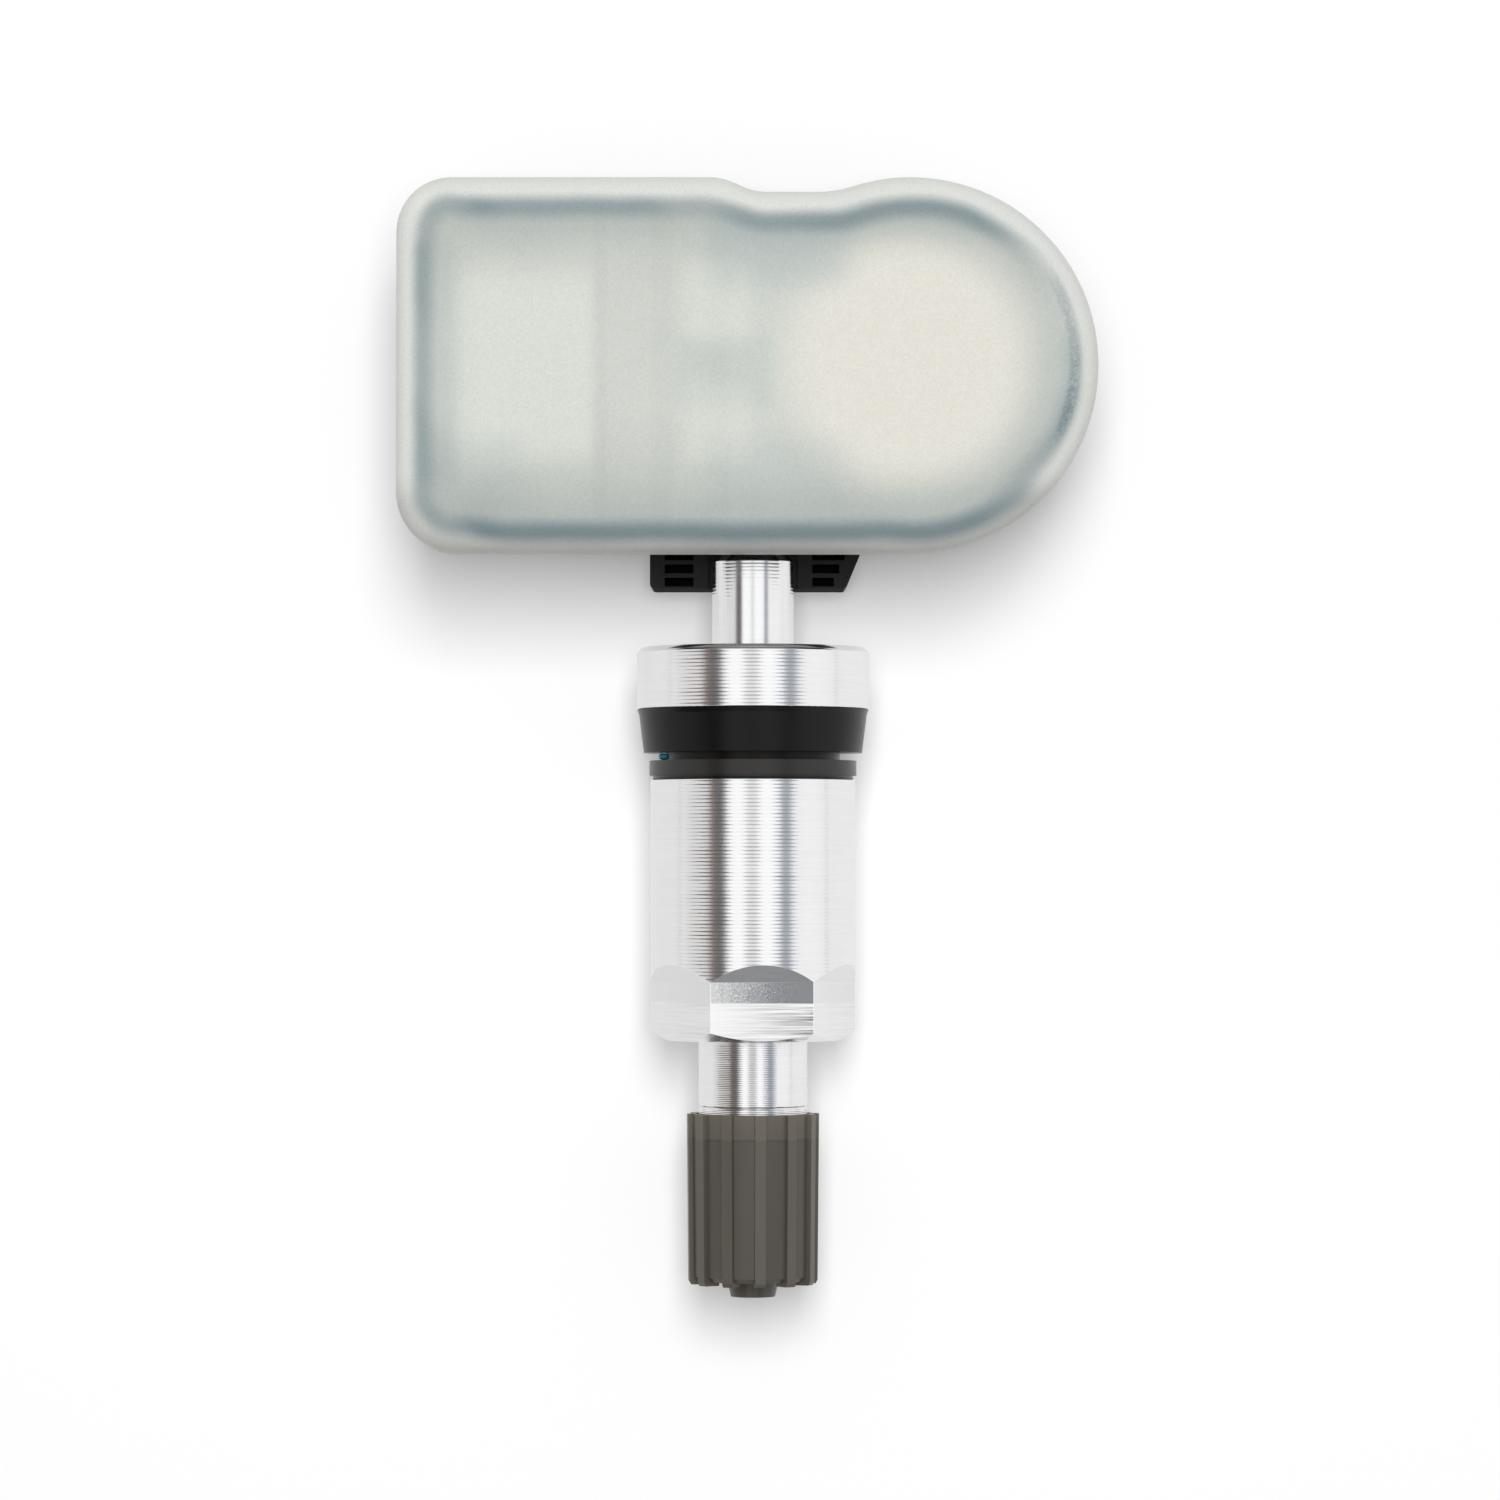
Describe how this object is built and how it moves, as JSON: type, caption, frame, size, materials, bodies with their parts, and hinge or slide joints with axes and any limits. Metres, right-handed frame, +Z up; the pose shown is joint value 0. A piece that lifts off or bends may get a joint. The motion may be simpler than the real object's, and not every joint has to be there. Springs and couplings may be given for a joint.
{
  "type": "tyre pressure sensor",
  "caption": "Tyre pressure sensor: flat sealed housing, square at one end and round at the other, on a clamp-in valve with rubber grommet, barrel nut and ribbed dust cap.",
  "frame": {"origin": "on the valve's axis, in the plane where the grommet seats on the wheel rim", "axes": "+Y along the valve towards the sensor housing, with the cap at -Y; +Z up through the lid; +X towards the housing's round end"},
  "size_m": [0.0465, 0.0746, 0.0177],
  "materials": {
    "milky_plastic": "milky translucent, satin",
    "black_plastic": "moulded, satin",
    "button_plastic": "moulded, satin",
    "washer_plastic": "moulded, satin",
    "cap_plastic": "moulded, satin",
    "black_rubber": "moulded, dull",
    "aluminium": "turned, satin",
    "brass": "turned",
    "spring_steel": "drawn",
    "plated_steel": "nickel plated",
    "board_laminate": "lacquered glass laminate",
    "chip_plastic": "moulded, dull",
    "ferrite": "dull",
    "white_ceramic": "dull"
  },
  "bodies": {
    "housing": {"lid": "milky_plastic", "base": "black_plastic", "latch_springs": "spring_steel", "valve_stem": "aluminium", "grommet": "black_rubber", "core_barrel": "brass", "core_ring": "black_rubber", "core_spring": "spring_steel", "coin_cell": "plated_steel", "circuit_board": "board_laminate", "positive_tab": "plated_steel", "negative_tab": "plated_steel", "sensor_chip": "chip_plastic", "port_gasket": "black_rubber", "pickup_coil": "ferrite", "crystal": "white_ceramic", "radio_antenna": "plated_steel", "chip_components": "white_ceramic"},
    "washer": {"nut_washer": "washer_plastic"},
    "nut": {"nut": "aluminium"},
    "cap_ring": {"cap_seal": "black_rubber"},
    "cap": {"valve_cap": "cap_plastic"},
    "core_pin": {"core_pin": "brass", "core_cup_seal": "black_rubber"},
    "release": {"release_button": "button_plastic"}
  },
  "joints": [
    {"name": "nut_travel", "type": "slide", "parent": "housing", "child": "washer", "axis": [0, -1, 0], "range_m": [0, 0.00397]},
    {"name": "nut_turn", "type": "hinge", "parent": "washer", "child": "nut", "pos_m": [0, 0, 0], "axis": [0, -1, 0], "range_deg": [0, 1801]},
    {"name": "cap_travel", "type": "slide", "parent": "housing", "child": "cap_ring", "axis": [0, -1, 0], "range_m": [0, 0.00794]},
    {"name": "cap_turn", "type": "hinge", "parent": "cap_ring", "child": "cap", "pos_m": [0, 0, 0], "axis": [0, -1, 0], "range_deg": [0, 3601]},
    {"name": "core_press", "type": "slide", "parent": "housing", "child": "core_pin", "axis": [0, 1, 0], "range_m": [0, 0.0012], "stiffness_N_per_m": 300, "springref_m": -0.003, "deforming": ["core_spring"]},
    {"name": "release_press", "type": "slide", "parent": "housing", "child": "release", "axis": [0, 0, 1], "range_m": [0, 0.00075], "stiffness_N_per_m": 400, "springref_m": -0.002, "deforming": ["latch_springs"]}
  ],
  "couplings": [
    {"joint": "nut_turn", "follows": "nut_travel", "rad_per_m": 7913.3},
    {"joint": "cap_turn", "follows": "cap_travel", "rad_per_m": 7913.3}
  ]
}
